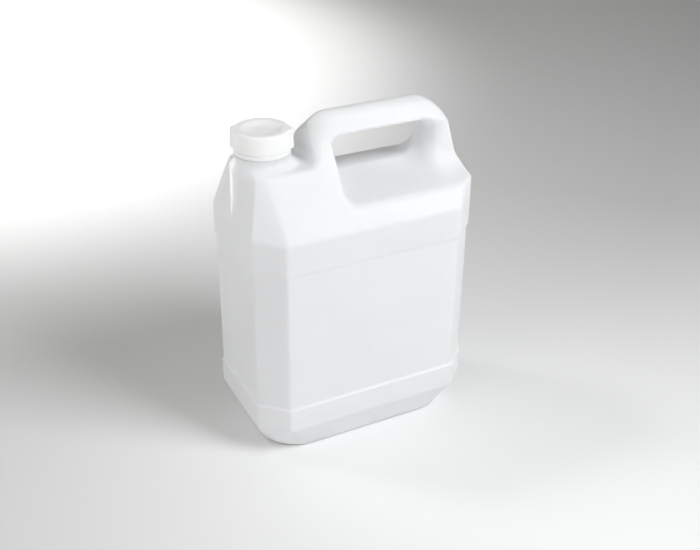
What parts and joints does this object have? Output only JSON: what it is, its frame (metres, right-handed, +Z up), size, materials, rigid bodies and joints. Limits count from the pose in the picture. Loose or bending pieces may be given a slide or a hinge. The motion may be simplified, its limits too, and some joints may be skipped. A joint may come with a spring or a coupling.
{
  "type": "plastic jerrycan",
  "caption": "Upright translucent white plastic can with faceted corners, a built-in hollow handle and an offset neck closed by a screw cap, for storing and pouring liquids.",
  "frame": {"origin": "under the middle of the can, on the surface that it stands on", "axes": "+Z up, +X along the can from the neck to the rear of the handle, +Y across it"},
  "size_m": [0.201, 0.123, 0.286],
  "materials": {
    "can_plastic": "satin, milky translucent",
    "cap_plastic": "satin",
    "wad_foam": "matte"
  },
  "bodies": {
    "can": {"can_body": "can_plastic", "tamper_ring": "cap_plastic"},
    "wad": {"sealing_wad": "wad_foam"},
    "cap": {"screw_cap": "cap_plastic"}
  },
  "joints": [
    {"name": "cap_lift", "type": "slide", "parent": "can", "child": "wad", "axis": [0, 0, 1], "range_m": [0, 0.0125]},
    {"name": "cap_turn", "type": "hinge", "parent": "wad", "child": "cap", "pos_m": [-0.0717, 0, 0.27], "axis": [0, 0, 1], "range_deg": [0, 900]}
  ],
  "couplings": [
    {"joint": "cap_turn", "follows": "cap_lift", "rad_per_m": 1256.6}
  ]
}
